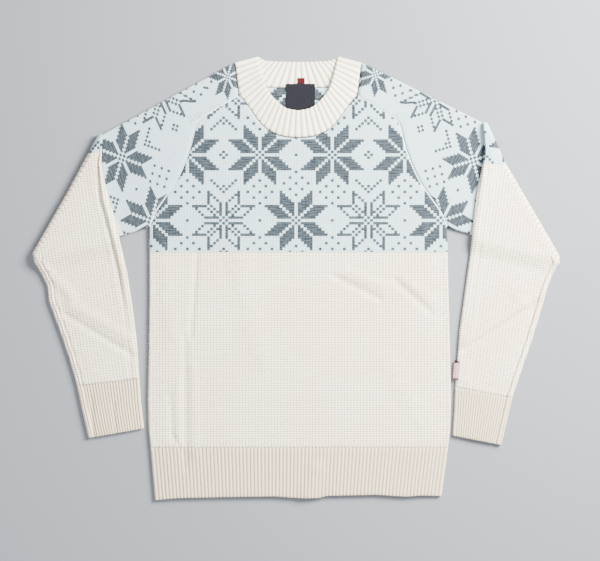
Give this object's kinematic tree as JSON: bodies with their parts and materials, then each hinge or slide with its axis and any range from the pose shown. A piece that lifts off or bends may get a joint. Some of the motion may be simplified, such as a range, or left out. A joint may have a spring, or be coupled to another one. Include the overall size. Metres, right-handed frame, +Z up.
{
  "type": "crewneck sweater",
  "caption": "Raglan crewneck sweater laid flat, face up, both sleeves folded over so the forearms run down beside the body; ribbed neck, hem and cuffs.",
  "frame": {"origin": "on the resting plane, on the garment's centre line, between the hem and the neck, under the back panel", "axes": "+X to the wearer's left, which is the picture's right; +Y from the hem towards the neck; +Z up from the surface it lies on"},
  "size_m": [0.8132, 0.687, 0.0162],
  "materials": {
    "waffle_knit": "matt wool-like waffle knit, cream",
    "sleeve_knit": "matt knit, jacquard star pattern above and cream waffle below",
    "rib_knit": "matt ribbed knit, cream",
    "label_dark": "woven label, dark navy",
    "label_red": "woven loop, deep red",
    "tab_pale": "woven tab, pale pink with dark red ends"
  },
  "bodies": {
    "root": {"front_panel": "waffle_knit", "back_panel": "waffle_knit", "hem_rib": "rib_knit", "neck_rib": "rib_knit", "sleeve_right": "sleeve_knit", "sleeve_left": "sleeve_knit", "cuff_right": "rib_knit", "cuff_left": "rib_knit", "neck_label": "label_dark", "neck_loop": "label_red", "sleeve_tab": "tab_pale"}
  },
  "joints": []
}
